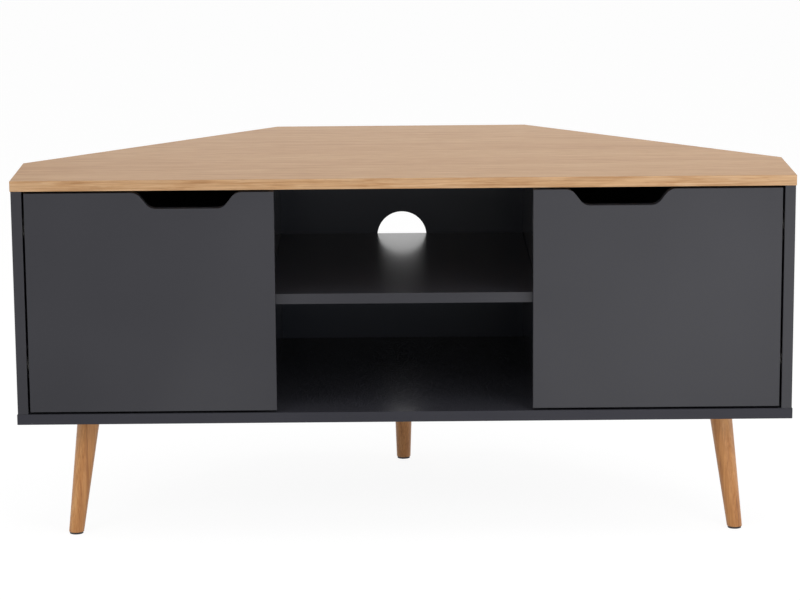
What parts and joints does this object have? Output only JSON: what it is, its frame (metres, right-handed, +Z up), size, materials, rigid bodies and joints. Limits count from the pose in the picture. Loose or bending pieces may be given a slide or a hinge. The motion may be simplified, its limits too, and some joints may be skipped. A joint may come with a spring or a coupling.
{
  "type": "corner tv cabinet",
  "caption": "Corner television cabinet with an oak-look top, grey hinged doors with finger cut-outs on either side of an open shelved niche, and splayed tapered legs.",
  "frame": {"origin": "on the floor, under the middle of the outline", "axes": "+X to the right seen from the front, along the width; +Y to the back, into the corner; +Z up"},
  "size_m": [1.1, 0.52, 0.523],
  "materials": {
    "oak_board": "satin foil, oak look",
    "grey_board": "satin grey lacquer on board",
    "grey_hardboard": "painted hardboard",
    "turned_oak": "clear satin lacquer",
    "beech": "raw, fluted",
    "black_plastic": "moulded",
    "clear_rubber": "soft, translucent",
    "nickel_steel": "nickel plated",
    "zinc_plated_steel": "zinc plated",
    "die_cast_zinc": "as cast"
  },
  "bodies": {
    "cabinet": {"back_panel_nails": "zinc_plated_steel", "bottom_panel": "grey_board", "cam_bolts": "zinc_plated_steel", "cam_locks": "die_cast_zinc", "front_left_leg": "turned_oak", "front_left_leg_bolt": "zinc_plated_steel", "front_left_leg_glide": "black_plastic", "front_left_leg_plate": "zinc_plated_steel", "front_right_leg": "turned_oak", "front_right_leg_bolt": "zinc_plated_steel", "front_right_leg_glide": "black_plastic", "front_right_leg_plate": "zinc_plated_steel", "hinge_clamp_screws": "zinc_plated_steel", "hinge_mount_screws": "zinc_plated_steel", "left_back_panel": "grey_hardboard", "left_lower_hinge_arm": "nickel_steel", "left_lower_hinge_mount": "nickel_steel", "left_partition": "grey_board", "left_side_panel": "grey_board", "left_upper_hinge_arm": "nickel_steel", "left_upper_hinge_mount": "nickel_steel", "leg_plate_screws": "zinc_plated_steel", "niche_back_panel": "grey_board", "niche_shelf": "grey_board", "rear_leg": "turned_oak", "rear_leg_bolt": "zinc_plated_steel", "rear_leg_glide": "black_plastic", "rear_leg_plate": "zinc_plated_steel", "right_back_panel": "grey_hardboard", "right_lower_hinge_arm": "nickel_steel", "right_lower_hinge_mount": "nickel_steel", "right_partition": "grey_board", "right_side_panel": "grey_board", "right_upper_hinge_arm": "nickel_steel", "right_upper_hinge_mount": "nickel_steel", "top_panel": "oak_board", "wooden_dowels": "beech"},
    "left_door": {"left_door_bumpers": "clear_rubber", "left_door_panel": "grey_board", "left_hinge_cup_screws": "zinc_plated_steel", "left_lower_hinge_cup": "nickel_steel", "left_lower_hinge_pin": "nickel_steel", "left_upper_hinge_cup": "nickel_steel", "left_upper_hinge_pin": "nickel_steel"},
    "right_door": {"right_door_bumpers": "clear_rubber", "right_door_panel": "grey_board", "right_hinge_cup_screws": "zinc_plated_steel", "right_lower_hinge_cup": "nickel_steel", "right_lower_hinge_pin": "nickel_steel", "right_upper_hinge_cup": "nickel_steel", "right_upper_hinge_pin": "nickel_steel"}
  },
  "joints": [
    {"name": "left_door_hinge", "type": "hinge", "parent": "cabinet", "child": "left_door", "pos_m": [-0.511, -0.2506, 0.348], "axis": [0, 0, -1], "range_deg": [0, 95]},
    {"name": "right_door_hinge", "type": "hinge", "parent": "cabinet", "child": "right_door", "pos_m": [0.511, -0.2506, 0.348], "axis": [0, 0, 1], "range_deg": [0, 95]}
  ]
}
